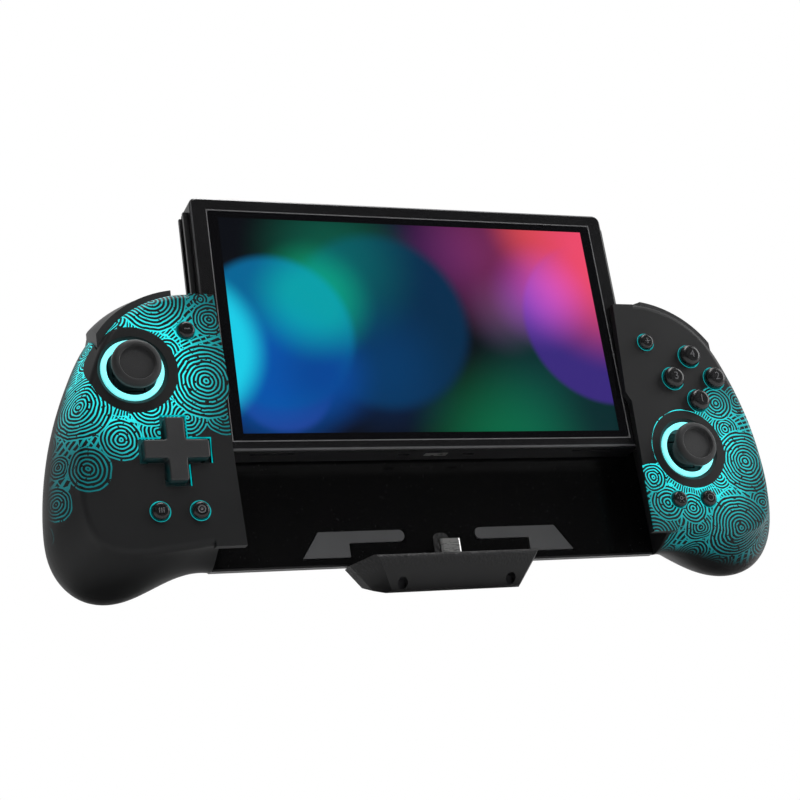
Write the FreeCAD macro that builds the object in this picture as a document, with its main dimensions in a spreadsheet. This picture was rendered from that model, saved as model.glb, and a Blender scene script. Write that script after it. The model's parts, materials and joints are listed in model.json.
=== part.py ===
import FreeCAD, Part
import Sketcher
import math
import os
import re

# Game console held in a one-piece grip controller, in millimetres.
# +X is to the player's right, -Y faces the player and +Z is up. The origin lies on the middle plane,
# under the middle of the depth, level with the bottom of the dock chin.

doc = FreeCAD.newDocument("GripConsole")
sheet = doc.addObject("Spreadsheet::Sheet", "Sizes")

SIZES = [
    # whole controller
    ("total_width", 296.0, "outermost points of the two grips"),
    ("total_depth", 56.0, "stick caps to the rear of the grips"),
    ("stick_rise", 7.5, "stick cap front above the grip face"),
    ("grip_height", 110.6, "grip, lowest to highest point"),
    ("grip_bottom", 3.8, "grip's lowest point above the chin's underside"),
    ("grip_wall", 2.2, "shell wall"),
    ("parting_back", 19.5, "face to the parting plane of the shells"),
    ("bridge_half", 91.0, "middle to the grips' inner side walls"),
    ("lip_depth", 3.1, "thickness of the lip in front of the tablet"),
    # tablet
    ("tablet_width", 176.2, "across the frame, without the rails"),
    ("tablet_height", 102.0, "height"),
    ("tablet_thick", 13.9, "glass to rear"),
    ("tablet_wall", 1.6, "tablet shell wall"),
    ("tablet_raise", 39.9, "height of the tablet over its seat at rest"),
    ("glass_back", 3.5, "grip face to the tablet's glass"),
    ("glass_width", 163.0, "glass"),
    ("glass_height", 92.6, "glass"),
    ("glass_thick", 0.9, "glass"),
    ("glass_up", 0.8, "glass centre below the tablet's centre"),
    ("frame_thick", 1.2, "front frame"),
    ("panel_thick", 2.0, "display panel"),
    ("rail_stand", 1.9, "side rail beyond the tablet's side"),
    ("rail_width", 7.0, "side rail, front to back"),
    ("fit_gap", 0.1, "clearance round a glued or clipped piece"),
    ("move_gap", 0.3, "clearance round a moving piece"),
    ("plate_gap", 0.7, "tablet's rear to the back plate"),
    # bridge and dock
    ("plate_thick", 2.4, "glossy back plate"),
    ("plate_top", 112.4, "upper edge of the plate"),
    ("pad_gap", 0.45, "groove round an inset pad"),
    ("bridge_thick", 9.0, "rear cover of the bridge"),
    ("bridge_wall", 2.0, "rear cover wall"),
    ("bevel_rise", 5.0, "bevel under the rear cover"),
    ("seat_top", 12.0, "ledge of the chin that the tablet sits on"),
    ("chin_half_top", 38.0, "half width of the chin at the ledge, by the plate"),
    ("chin_half_low", 28.5, "half width of the chin at its underside, by the plate"),
    ("chin_taper", 5.0, "how much narrower each side is at the front"),
    ("chin_rake", 7.0, "how far the chin's underside is set back"),
    ("chin_wall", 2.4, "chin wall"),
    ("plug_width", 8.34, "USB-C plug"),
    ("plug_thick", 2.4, "USB-C plug"),
    ("plug_rise", 6.65, "USB-C plug over the ledge"),
    ("plug_skin", 0.3, "USB-C plug's metal"),
    ("port_gap", 0.12, "USB-C plug in its port"),
    ("jack_radius", 1.8, "headphone socket"),
    # controls
    ("left_stick_x", -116.7, "stick"),
    ("left_stick_z", 82.0, "stick"),
    ("right_stick_x", 105.3, "stick"),
    ("right_stick_z", 49.4, "stick"),
    ("cap_radius", 9.0, "stick cap"),
    ("cap_rim", 2.8, "stick cap thickness at its rim"),
    ("cap_inner", 6.6, "radius of the dish in a stick cap"),
    ("cap_dish", 1.3, "depth of the dish"),
    ("cap_round", 1.9, "rounding of the stick cap's rim"),
    ("pivot_back", 8.5, "grip face to the sticks' pivot"),
    ("ring_outer", 11.4, "light ring"),
    ("ring_inner", 9.5, "light ring"),
    ("cross_x", -104.2, "direction cross"),
    ("cross_z", 51.4, "direction cross"),
    ("cross_span", 23.6, "direction cross, tip to tip"),
    ("cross_arm", 6.8, "direction cross, width of an arm"),
    ("cross_rise", 2.2, "direction cross over the face"),
    ("cross_gap", 1.5, "well round the direction cross"),
    ("face_centre_x", 114.6, "centre of the four face buttons"),
    ("face_centre_z", 79.6, "centre of the four face buttons"),
    ("face_pitch", 9.7, "face button from the centre"),
    ("face_radius", 4.5, "face button"),
    ("face_rise", 3.0, "face button over the face"),
    ("small_radius", 3.25, "small button"),
    ("small_rise", 1.8, "small button over the face"),
    ("button_gap", 0.55, "lit gap round a button"),
    ("button_travel", 1.0, "travel of a button"),
    ("stem_back", 6.2, "face to the foot of a button"),
    ("rear_rise", 1.0, "rear button over the grip's rear"),
    ("membrane_thick", 1.6, "rubber membrane"),
    ("board_thick", 1.6, "circuit board"),
    ("pin_radius", 0.8, "trigger and gimbal pins"),
    ("pin_gap", 0.06, "running clearance of a pin"),
    ("screw_radius", 1.0, "screw shank"),
    ("head_radius", 1.9, "screw head"),
]
for row, (alias, number, note) in enumerate(SIZES, start=1):
    sheet.set(f"A{row}", note)
    sheet.set(f"B{row}", str(number))
    sheet.setAlias(f"B{row}", alias)
doc.recompute()

# Places worked out from the driving sizes, written once as formulas.
DERIVED = {
    "half_width": "(total_width / 2)",
    "grip_width": "(half_width - bridge_half)",
    "grip_top": "(grip_bottom + grip_height)",
    "face_y": "(stick_rise - total_depth / 2)",
    "grip_rear_y": "(total_depth / 2)",
    "glass_y": "(face_y + glass_back)",
    "parting_y": "(face_y + parting_back)",
    "tablet_rear_y": "(glass_y + tablet_thick)",
    "tablet_mid_y": "(glass_y + tablet_thick / 2)",
    "tablet_half": "(tablet_width / 2)",
    "tablet_bottom": "(seat_top + move_gap + tablet_raise)",
    "tablet_top": "(tablet_bottom + tablet_height)",
    "tablet_mid_z": "(tablet_bottom + tablet_height / 2)",
    "glass_mid_z": "(tablet_mid_z - glass_up)",
    "plate_y": "(tablet_rear_y + plate_gap)",
    "plate_rear_y": "(plate_y + plate_thick)",
    "bridge_rear_y": "(plate_rear_y + bridge_thick)",
    "pivot_y": "(face_y + pivot_back)",
    "foot_y": "(face_y + stem_back)",
    "membrane_y": "(foot_y + button_travel + move_gap)",
    "board_y": "(membrane_y + membrane_thick)",
    "lip_rear_y": "(face_y + lip_depth)",
    "chin_rear_y": "(plate_rear_y + 3)",
}
ALIASES = {alias for alias, number, note in SIZES}


def bound(text):
    """A formula in terms of the sheet's cells."""
    def swap(match):
        word = match.group(0)
        if word in DERIVED:
            return bound(DERIVED[word])
        if word in ALIASES:
            return "Sizes." + word
        return word
    return re.sub(r"[A-Za-z_]\w*", swap, str(text))


def size(text):
    """The number that a formula gives now."""
    return float(sheet.evalExpression(bound(text).replace("Sizes.", "")))


def bind(obj, prop, text):
    obj.setExpression(prop, bound(text))


def place(obj, x, y, z):
    bind(obj, "Placement.Base.x", x)
    bind(obj, "Placement.Base.y", y)
    bind(obj, "Placement.Base.z", z)


def box(x0, x1, y0, y1, z0, z1):
    """A Part::Box between two corners given as formulas."""
    obj = doc.addObject("Part::Box", "Block")
    bind(obj, "Length", f"({x1}) - ({x0})")
    bind(obj, "Width", f"({y1}) - ({y0})")
    bind(obj, "Height", f"({z1}) - ({z0})")
    place(obj, x0, y0, z0)
    return obj


TURN = {
    "Y": FreeCAD.Rotation(FreeCAD.Vector(1, 0, 0), -90),
    "X": FreeCAD.Rotation(FreeCAD.Vector(0, 1, 0), 90),
    "Z": FreeCAD.Rotation(),
}


def rod(axis, radius, length, x, y, z):
    """A Part::Cylinder from (x, y, z) along +axis."""
    obj = doc.addObject("Part::Cylinder", "Rod")
    obj.Placement = FreeCAD.Placement(FreeCAD.Vector(), TURN[axis])
    bind(obj, "Radius", radius)
    bind(obj, "Height", length)
    place(obj, x, y, z)
    return obj


def cut(base, *tools):
    for tool in tools:
        result = doc.addObject("Part::Cut", "Cut")
        result.Base = base
        result.Tool = tool
        base = result
    return base


def fuse(*shapes):
    result = doc.addObject("Part::MultiFuse", "Union")
    result.Shapes = list(shapes)
    return result


def common(first, second):
    result = doc.addObject("Part::Common", "Overlap")
    result.Base = first
    result.Tool = second
    return result


def group(*shapes):
    """Separate identical solids kept as one sub-part."""
    result = doc.addObject("Part::Compound", "Group")
    result.Links = list(shapes)
    return result


def solid(shape):
    """A Part::Feature round a shape that Part's own functions made."""
    obj = doc.addObject("Part::Feature", "Form")
    obj.Shape = shape
    obj.Placement = FreeCAD.Placement()
    return obj


SUBPARTS = []


def named(obj, label):
    obj.Label = label
    SUBPARTS.append(obj)
    return obj


# ---- sketched bodies ----

def origin_plane(body, role):
    return next(o for o in body.Origin.OriginFeatures if o.Role == role)


def sketch_on(body, plane, offset="0"):
    sketch = body.newObject("Sketcher::SketchObject", "Sketch")
    sketch.AttachmentSupport = [(origin_plane(body, plane + "_Plane"), "")]
    sketch.MapMode = "FlatFace"
    sign = "-1 * " if plane == "XZ" else ""
    bind(sketch, "AttachmentOffset.Base.z", f"{sign}({offset})")
    return sketch


def hold(sketch, line, end, point):
    """Ties one sketch vertex to its place from the origin."""
    for kind, text in (("DistanceX", point[0]), ("DistanceY", point[1])):
        number = size(text)
        index = sketch.addConstraint(Sketcher.Constraint(kind, -1, 1, line, end, number))
        sketch.setExpression(f"Constraints[{index}]", bound(text))


def polygon(sketch, points):
    """A closed outline of straight lines whose corners are formulas."""
    places = [FreeCAD.Vector(size(u), size(v), 0) for u, v in points]
    first = sketch.GeometryCount
    count = len(points)
    for i in range(count):
        sketch.addGeometry(Part.LineSegment(places[i], places[(i + 1) % count]), False)
    for i in range(count):
        after = first + (i + 1) % count
        sketch.addConstraint(Sketcher.Constraint("Coincident", first + i, 2, after, 1))
    for i, point in enumerate(points):
        hold(sketch, first + i, 1, point)


def rectangle(u0, u1, v0, v1):
    return [(u0, v0), (u1, v0), (u1, v1), (u0, v1)]


def new_body():
    return doc.addObject("PartDesign::Body", "Body")


def pad(body, plane, outline, start, end):
    """Adds the outline's prism from start to end along the plane's axis."""
    sketch = sketch_on(body, plane, start)
    polygon(sketch, outline)
    feature = body.newObject("PartDesign::Pad", "Pad")
    feature.Profile = sketch
    bind(feature, "Length", f"({end}) - ({start})")
    feature.Reversed = plane == "XZ"
    doc.recompute()
    return feature


def pocket(body, plane, outline, start, end):
    """Takes the outline's prism from start to end out of the body."""
    before = body.Shape.Volume
    sketch = sketch_on(body, plane, start)
    polygon(sketch, outline)
    feature = body.newObject("PartDesign::Pocket", "Pocket")
    feature.Profile = sketch
    bind(feature, "Length", f"({end}) - ({start})")
    feature.Reversed = plane != "XZ"
    doc.recompute()
    if body.Shape.Volume >= before:
        raise ValueError("a pocket cuts nothing")
    return feature


def dress(body, kind, amount, test):
    """Rounds (Fillet) or bevels (Chamfer) the edges that pass the test."""
    edges = [f"Edge{i}" for i, edge in enumerate(body.Shape.Edges, start=1) if test(edge)]
    base = body.Tip
    feature = body.newObject("PartDesign::" + kind, kind)
    feature.Base = (base, edges)
    bind(feature, "Radius" if kind == "Fillet" else "Size", amount)
    doc.recompute()
    return feature


def along(edge, axis):
    """Whether a straight edge runs along X, Y or Z."""
    if edge.Curve.TypeId != "Part::GeomLine":
        return False
    return abs(getattr(edge.Curve.Direction, axis.lower())) > 0.999


def middle(edge):
    return edge.BoundBox.Center


def turned(outline, x, y, z):
    """A body turned about its own front-pointing axis; outline is (radius, distance forward)."""
    body = new_body()
    sketch = sketch_on(body, "XZ")
    polygon(sketch, outline)
    feature = body.newObject("PartDesign::Revolution", "Revolution")
    feature.Profile = sketch
    feature.ReferenceAxis = (sketch, ["V_Axis"])
    feature.Angle = 360
    body.Placement = FreeCAD.Placement(FreeCAD.Vector(), FreeCAD.Rotation(FreeCAD.Vector(1, 0, 0), 90))
    place(body, x, y, z)
    doc.recompute()
    return body


def round_rim(body, amount, radius, height):
    """Rounds the circular edge of a turned body at the given radius and height."""
    def chosen(edge):
        if edge.Curve.TypeId != "Part::GeomCircle":
            return False
        local = body.Placement.inverse().multVec(edge.Curve.Center)
        return abs(edge.Curve.Radius - size(radius)) < 1e-4 and abs(local.z - size(height)) < 1e-4
    dress(body, "Fillet", amount, chosen)



# ---- grip shells ----
# Each outline is a list of (distance out from the inner wall, height over the grip's lowest point)
# for a grip 57 wide and 110.6 high, starting at the inner lower corner.
NOMINAL_WIDTH = 57.0
NOMINAL_HEIGHT = 110.6
FACE = [(0, 12.1), (9, 11.8), (21, 11.0), (33, 10.8), (42, 14.2), (46.5, 24), (47.4, 38.5), (46.2, 52),
        (43.8, 64), (39.4, 79), (33.4, 92), (26.4, 100), (14, 106.8), (4, 108.8), (0, 108.8)]
SHOULDER = [(0, 11), (9, 10.3), (21, 7.8), (33, 5.8), (45.2, 9.4), (51.6, 20), (52.8, 36), (51.2, 52),
            (48.4, 65), (42.8, 80.5), (36, 93.6), (28.2, 101.6), (15, 108.2), (4, 110.1), (0, 110)]
WAIST = [(0, 8.6), (9, 8), (21, 3.8), (33, 0), (46, 1.8), (54.3, 11), (57, 28), (55, 48),
         (51.6, 63), (45, 81), (37.5, 94.5), (29, 102.8), (15, 109), (4, 110.6), (0, 110.3)]
PALM = [(2.5, 22), (10, 14.5), (20, 8), (32, 3.6), (44, 6.2), (51.5, 15), (53.6, 30), (51.8, 49),
        (48.3, 62), (41.5, 77), (34, 88), (26, 95), (15, 99.5), (8, 100), (2.5, 98)]
HEEL = [(11, 35), (15, 24.5), (22.5, 17), (32, 12.8), (41, 14.4), (47, 21.5), (49, 33), (47.6, 47),
        (44, 58), (38.5, 68), (32, 75), (26, 79), (19, 80.4), (14, 78.6), (11, 73)]
REAR = [(20, 39), (22.5, 32.5), (27, 28), (33, 26), (38, 27.6), (41.6, 32), (42.8, 39), (42, 47),
        (39.6, 53), (36, 58), (32, 61), (28, 62), (24.4, 61.2), (21.4, 58), (20, 53)]


def stations():
    """Each outline with its distance back from the face."""
    depth = size("grip_rear_y - rear_rise - face_y")
    return [(FACE, 0.0), (SHOULDER, 8.5), (WAIST, 21.5),
            (PALM, depth - 13.0), (HEEL, depth - 4.0), (REAR, depth)]


def inset(points, amount):
    """The outline moved inwards by the given amount, corner by corner."""
    count = len(points)
    moved = []
    for i in range(count):
        before = points[i - 1]
        here = points[i]
        after = points[(i + 1) % count]
        normals = []
        for first, second in ((before, here), (here, after)):
            run = FreeCAD.Vector(second[0] - first[0], second[1] - first[1], 0)
            run.normalize()
            normals.append(FreeCAD.Vector(-run.y, run.x, 0))
        middle_normal = normals[0] + normals[1]
        reach = amount * 2 / middle_normal.dot(middle_normal)
        moved.append((here[0] + middle_normal.x * reach, here[1] + middle_normal.y * reach))
    return moved


def grip_form(side, amount):
    """The grip's whole form, its skin moved inwards by amount (outwards when negative)."""
    wide = size("grip_width") / NOMINAL_WIDTH
    high = size("grip_height") / NOMINAL_HEIGHT
    wires = []
    table = stations()
    for index, (outline, back) in enumerate(table):
        points = inset([(u * wide, w * high) for u, w in outline], amount)
        if index == 0:
            back = back + amount
        if index == len(table) - 1:
            back = back - amount
        corners = [
            FreeCAD.Vector(side * (size("bridge_half") + u), size("face_y") + back, size("grip_bottom") + w)
            for u, w in points
        ]
        curve = Part.BSplineCurve()
        curve.interpolate(corners)
        wires.append(Part.Wire([curve.toShape(), Part.makeLine(corners[-1], corners[0])]))
    return Part.makeLoft(wires, True, False)


def block(x0, x1, y0, y1, z0, z1):
    """A plain box shape between two corners."""
    low = FreeCAD.Vector(min(x0, x1), min(y0, y1), min(z0, z1))
    return Part.makeBox(abs(x1 - x0), abs(y1 - y0), abs(z1 - z0), low)


def edge_at_face(edge, level):
    box_of = edge.BoundBox
    return abs(box_of.YMin - level) < 1e-3 and abs(box_of.YMax - level) < 1e-3


def prism(points, plane, start, end):
    """A solid from an outline on the XZ (start and end in Y) or YZ plane (start and end in X)."""
    if plane == "XZ":
        corners = [FreeCAD.Vector(u, start, v) for u, v in points]
        path = FreeCAD.Vector(0, end - start, 0)
    else:
        corners = [FreeCAD.Vector(start, u, v) for u, v in points]
        path = FreeCAD.Vector(end - start, 0, 0)
    face = Part.Face(Part.makePolygon(corners + corners[:1]))
    return face.extrude(path)


def drill(x, z, radius, start, end):
    """A round hole's tool along +Y."""
    return Part.makeCylinder(radius, end - start, FreeCAD.Vector(x, start, z), FreeCAD.Vector(0, 1, 0))


def cross_points(centre_x, centre_z, half_span, half_arm):
    """The twelve corners of a plus sign."""
    a = half_arm
    b = half_span
    corners = [(-a, -b), (a, -b), (a, -a), (b, -a), (b, a), (a, a), (a, b), (-a, b), (-a, a), (-b, a), (-b, -a),
               (-a, -a)]
    return [(centre_x + u, centre_z + v) for u, v in corners]


FACE_EDGE_RADIUS = 2.6
STICKS = {-1: ("left_stick_x", "left_stick_z"), 1: ("right_stick_x", "right_stick_z")}
SIDES = {-1: "left", 1: "right"}
SMALL_BUTTONS = {
    "minus_button": (-95.9, 97.4),
    "turbo_button": (-111.9, 29.0),
    "capture_button": (-97.6, 29.0),
    "plus_button": (95.6, 95.4),
    "light_button": (96.1, 28.4),
    "home_button": (109.5, 28.4),
}
FACE_BUTTONS = {"top_face_button": (0, 1), "right_face_button": (1, 0), "bottom_face_button": (0, -1),
                "left_face_button": (-1, 0)}
SHELL_SCREWS = [(126.0, 60.0), (122.0, 20.0), (95.8, 72.0)]
REAR_BUTTON = (122.0, 44.0)
REAR_BUTTON_SIZE = (8.0, 15.0)
RIBBON_SLOT = (43.0, 61.0)
BUMPER = (8.0, 37.0)
TRIGGER = (9.0, 36.0)
BUMPER_DEPTH = (3.4, 18.6)
TRIGGER_DEPTH = (21.0, 38.0)
BUMPER_DROP = 26.0
TRIGGER_DROP = 32.0
SWING_ROOM = 1.6
TRIGGER_SWING_GAP = 2.0


def face_button_place(step):
    return f"face_centre_x + {step[0]} * face_pitch", f"face_centre_z + {step[1]} * face_pitch"


def lip(side):
    """The thin front edge of the grip that stands in front of the tablet's frame."""
    top = size("grip_top - 2.2")
    low = size("grip_bottom + 12.1")
    step = size("grip_bottom + 66")
    root = size("bridge_half + grip_wall")
    points = [(84.0, top), (81.8, step + 4), (83.8, step), (82.0, low), (root, low), (root, top)]
    outline = [(side * u, v) for u, v in points]
    return prism(outline, "XZ", size("face_y"), size("lip_rear_y"))


def shoulder_window(side, span, depth, drop, gap):
    """The block of space that a bumper or trigger takes, with a gap round it."""
    x0 = size("bridge_half") + span[0] - gap
    x1 = size("bridge_half") + span[1] + gap
    y0 = size("face_y") + depth[0] - gap
    y1 = size("face_y") + depth[1] + gap
    return block(side * x0, side * x1, y0, y1, size("grip_top") - drop, size("grip_top") + 30)


def front_holes(side):
    """Every opening through the face of one grip."""
    start = size("face_y") - 5
    end = size("face_y + grip_wall") + 0.2
    x, z = (size(text) for text in STICKS[side])
    rim = size("ring_outer + fit_gap")
    tools = [drill(x, z, rim, start, end + 3)]
    flare = FreeCAD.Vector(x, size("face_y") - 0.8, z)
    tools.append(Part.makeCone(rim + 2.2, rim, 2.2, flare, FreeCAD.Vector(0, 1, 0)))
    for bx, bz in SMALL_BUTTONS.values():
        if bx * side > 0:
            tools.append(drill(bx, bz, size("small_radius + button_gap"), start, end + 1.4))
    if side > 0:
        for step in FACE_BUTTONS.values():
            bx, bz = (size(text) for text in face_button_place(step))
            tools.append(drill(bx, bz, size("face_radius + button_gap"), start, end))
            tools.append(drill(bx, bz, size("face_radius + 1.3"), size("face_y + grip_wall"), end + 4))
    else:
        reach = size("cross_span / 2 + cross_gap")
        arm = size("cross_arm / 2 + cross_gap")
        points = cross_points(size("cross_x"), size("cross_z"), reach, arm)
        tools.append(prism(points, "XZ", start, end + 1.4))
    return tools


def grip_shells(side):
    name = SIDES[side]
    outer = grip_form(side, 0)
    rims = [edge for edge in outer.Edges if edge_at_face(edge, size("face_y")) and edge.Length > 110]
    outer = outer.makeFillet(FACE_EDGE_RADIUS, rims)
    inner = grip_form(side, size("grip_wall"))
    keep = block(side * size("bridge_half"), side * size("half_width + 20"), -60, 60, -20, 150)
    outer = outer.common(keep)
    hollow = outer.cut(inner)
    parting = size("parting_y")
    front = hollow.common(block(-200, 200, -60, parting, -20, 150))
    rear = hollow.common(block(-200, 200, parting, 60, -20, 150))
    seat = parting + 7
    for x, z in SHELL_SCREWS:
        front = front.fuse(drill(side * x, z, 2.8, size("face_y") + 1.5, parting))
        post = drill(side * x, z, 3.6, parting, 60).common(outer)
        rear = rear.fuse(post)
    front = front.fuse(lip(side)).removeSplitter()
    for tool in front_holes(side):
        front = front.cut(tool)
    for x, z in SHELL_SCREWS:
        front = front.cut(drill(side * x, z, size("screw_radius"), parting - 10, parting + 1))
        rear = rear.cut(drill(side * x, z, size("screw_radius + fit_gap"), parting - 1, seat + 1))
        rear = rear.cut(drill(side * x, z, size("head_radius + fit_gap"), seat, 60))
    front = front.cut(shoulder_window(side, BUMPER, BUMPER_DEPTH, BUMPER_DROP + SWING_ROOM, 0.4))
    deep = (TRIGGER_DEPTH[0], TRIGGER_DEPTH[1] + TRIGGER_SWING_GAP)
    rear = rear.cut(shoulder_window(side, TRIGGER, deep, TRIGGER_DROP + SWING_ROOM, 1.2))
    x, z = REAR_BUTTON
    wide = REAR_BUTTON_SIZE[0] / 2 + 0.3
    high = REAR_BUTTON_SIZE[1] / 2 + 0.3
    rear = rear.cut(block(side * (x - wide), side * (x + wide), 15, 60, z - high, z + high))
    ribbon = size("plate_rear_y")
    low, high = RIBBON_SLOT
    rear = rear.cut(block(side * 80, side * 95, ribbon + 2, ribbon + 4.4, low, high))
    named(solid(front.removeSplitter()), f"{name}_front_shell")
    named(solid(rear.removeSplitter()), f"{name}_rear_shell")


def bumper(side):
    form = grip_form(side, -2.6).cut(grip_form(side, 3.4))
    form = form.common(shoulder_window(side, BUMPER, BUMPER_DEPTH, BUMPER_DROP, 0))
    solids = sorted(form.Solids, key=lambda s: s.Volume)
    named(solid(solids[-1]), f"{SIDES[side]}_bumper")


def trigger_axis(side):
    """The trigger's hinge line: its middle point and direction, along the slope of the shoulder."""
    point = FreeCAD.Vector(side * (size("bridge_half") + 22.5), size("face_y") + TRIGGER_DEPTH[0] + 3.2,
                           size("grip_top") - 12.6)
    line = FreeCAD.Vector(side * 0.876, 0, -0.483)
    return point, line


def hinge_rod(side, radius, length):
    point, line = trigger_axis(side)
    return Part.makeCylinder(radius, length, point - line * (length / 2), line)


def trigger(side):
    form = grip_form(side, -2.4).cut(grip_form(side, 3.4))
    form = form.common(shoulder_window(side, TRIGGER, TRIGGER_DEPTH, TRIGGER_DROP, 0))
    form = max(form.Solids, key=lambda s: s.Volume)
    form = form.fuse(hinge_rod(side, 2.0, 18))
    form = form.cut(hinge_rod(side, size("pin_radius + pin_gap"), 40))
    named(solid(form), f"{SIDES[side]}_trigger")


for side in (-1, 1):
    grip_shells(side)
    bumper(side)
    trigger(side)
named(group(*[solid(hinge_rod(side, size("pin_radius"), 30)) for side in (-1, 1)]), "trigger_pins")

# ---- boards and membranes inside the grips ----
for side in (-1, 1):
    inside = grip_form(side, size("grip_wall") + 0.6)
    x, z = (size(text) for text in STICKS[side])
    stick_hole = block(x - 9.2, x + 9.2, -40, 40, z - 9.2, z + 9.2)
    bumper_room = shoulder_window(side, BUMPER, BUMPER_DEPTH, BUMPER_DROP + 1.5, 1.5).cut(grip_form(side, 5.6))
    for label, front, thick in (("circuit_board", "board_y", "board_thick"),
                                ("button_membrane", "membrane_y", "membrane_thick")):
        slab = block(-200, 200, size(front), size(front) + size(thick), 6, size("grip_top") - 14)
        sheet_form = inside.common(slab).cut(stick_hole).cut(bumper_room)
        for px, pz in SHELL_SCREWS:
            sheet_form = sheet_form.cut(drill(side * px, pz, 3.2, -40, 40))
        named(solid(sheet_form), f"{SIDES[side]}_{label}")

# ---- light rings and thumbsticks ----
TILT_DOME = 8.2
for side in (-1, 1):
    name = SIDES[side]
    x, z = STICKS[side]
    ring = turned([("ring_inner", "-0.6"), ("ring_outer", "-0.2"), ("ring_outer", "-3.4"),
                   ("ring_inner", "-3.4")], x, "face_y", z)
    named(ring, f"{name}_light_ring")
    housing = cut(box(f"{x} - 8.8", f"{x} + 8.8", "pivot_y - 0.6", "pivot_y + 6", f"{z} - 8.8", f"{z} + 8.8"),
                  box(f"{x} - 7.4", f"{x} + 7.4", "pivot_y - 2", "pivot_y + 4.6", f"{z} - 7.4", f"{z} + 7.4"))
    named(housing, f"{name}_stick_housing")
    rocker = cut(box(f"{x} - 7", f"{x} + 7", "pivot_y - 1.4", "pivot_y + 1.4", f"{z} - 7", f"{z} + 7"),
                 box(f"{x} - 5.8", f"{x} + 5.8", "pivot_y - 2", "pivot_y + 2", f"{z} - 5.8", f"{z} + 5.8"),
                 rod("X", "pin_radius + pin_gap", "20", f"{x} - 10", "pivot_y", z))
    named(rocker, f"{name}_stick_rocker")
    ball = doc.addObject("Part::Sphere", "Socket")
    bind(ball, "Radius", "3.7")
    place(ball, x, "pivot_y", z)
    ring_block = cut(box(f"{x} - 5.2", f"{x} + 5.2", "pivot_y - 1.1", "pivot_y + 1.1",
                         f"{z} - 5.2", f"{z} + 5.2"), ball, rod("Z", "pin_radius + pin_gap", "20", x, "pivot_y", f"{z} - 10"))
    gimbal = fuse(ring_block, rod("X", "pin_radius", "2", f"{x} + 4.7", "pivot_y", z),
                  rod("X", "pin_radius", "2", f"{x} - 6.7", "pivot_y", z))
    named(gimbal, f"{name}_stick_cross")
    front = "pivot_back + stick_rise"
    dish = f"{front} - cap_dish"
    crown = turned([("0", f"{front} - 5.2"), ("4.4", f"{front} - 5.2"),
                    ("cap_radius - 1.2", f"{front} - cap_rim - 0.5"), ("cap_radius", f"{front} - cap_rim"),
                    ("cap_radius", front), ("cap_inner", front), ("cap_inner - 0.4", dish), ("0", dish)],
                   x, "pivot_y", z)
    round_rim(crown, "cap_round", "cap_radius", front)
    round_rim(crown, "0.3", "cap_inner", front)
    shell_dome = []
    for radius in (TILT_DOME, TILT_DOME - 1.0):
        sphere = doc.addObject("Part::Sphere", "Dome")
        bind(sphere, "Radius", str(radius))
        sphere.Angle1 = 45 if radius == TILT_DOME else -90
        sphere.Angle2 = 90
        sphere.Placement = FreeCAD.Placement(FreeCAD.Vector(), FreeCAD.Rotation(FreeCAD.Vector(1, 0, 0), 90))
        place(sphere, x, "pivot_y", z)
        shell_dome.append(sphere)
    hub = doc.addObject("Part::Sphere", "Hub")
    bind(hub, "Radius", "3.2")
    place(hub, x, "pivot_y", z)
    cap = fuse(crown, cut(*shell_dome), hub, rod("Y", "2.6", f"{front} - 4", x, f"pivot_y - ({front} - 4)", z),
               rod("Z", "pin_radius", "9.6", x, "pivot_y", f"{z} - 4.8"))
    named(cap, f"{name}_stick_cap")

# ---- direction cross ----
def cross_body(reach, arm, start, end):
    """A plus-shaped body about the direction cross's centre."""
    corners = [("-a", "-r"), ("a", "-r"), ("a", "-a"), ("r", "-a"),
               ("r", "a"), ("a", "a"), ("a", "r"), ("-a", "r"),
               ("-a", "a"), ("-r", "a"), ("-r", "-a"), ("-a", "-a")]
    value = {"a": f"({arm})", "-a": f"(0 - {arm})", "r": f"({reach})", "-r": f"(0 - {reach})"}
    body = new_body()
    pad(body, "XZ", [(f"cross_x + {value[u]}", f"cross_z + {value[v]}") for u, v in corners], start, end)
    return body


cap_front = "face_y - cross_rise"
cross_cap = cross_body("cross_span / 2", "cross_arm / 2", cap_front, "face_y + grip_wall - 0.1")
dress(cross_cap, "Fillet", "0.9", lambda e: along(e, "Y"))
dress(cross_cap, "Fillet", "0.6", lambda e: abs(e.BoundBox.YMax - size(cap_front)) < 1e-3)
flange_y = "face_y + grip_wall + 1.1"
cross_root = cross_body("10", "cross_arm / 2", "face_y", flange_y)
named(fuse(cross_cap, cross_root, rod("Y", "10.2", "1.1", "cross_x", flange_y, "cross_z")), "direction_cross")
named(fuse(rod("Y", "3.0", "0.7", "cross_x", "face_y + grip_wall + 2.6", "cross_z"),
           rod("Y", "1.6", "1.0", "cross_x", "face_y + grip_wall + 2.6", "cross_z")), "cross_pivot")

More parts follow.
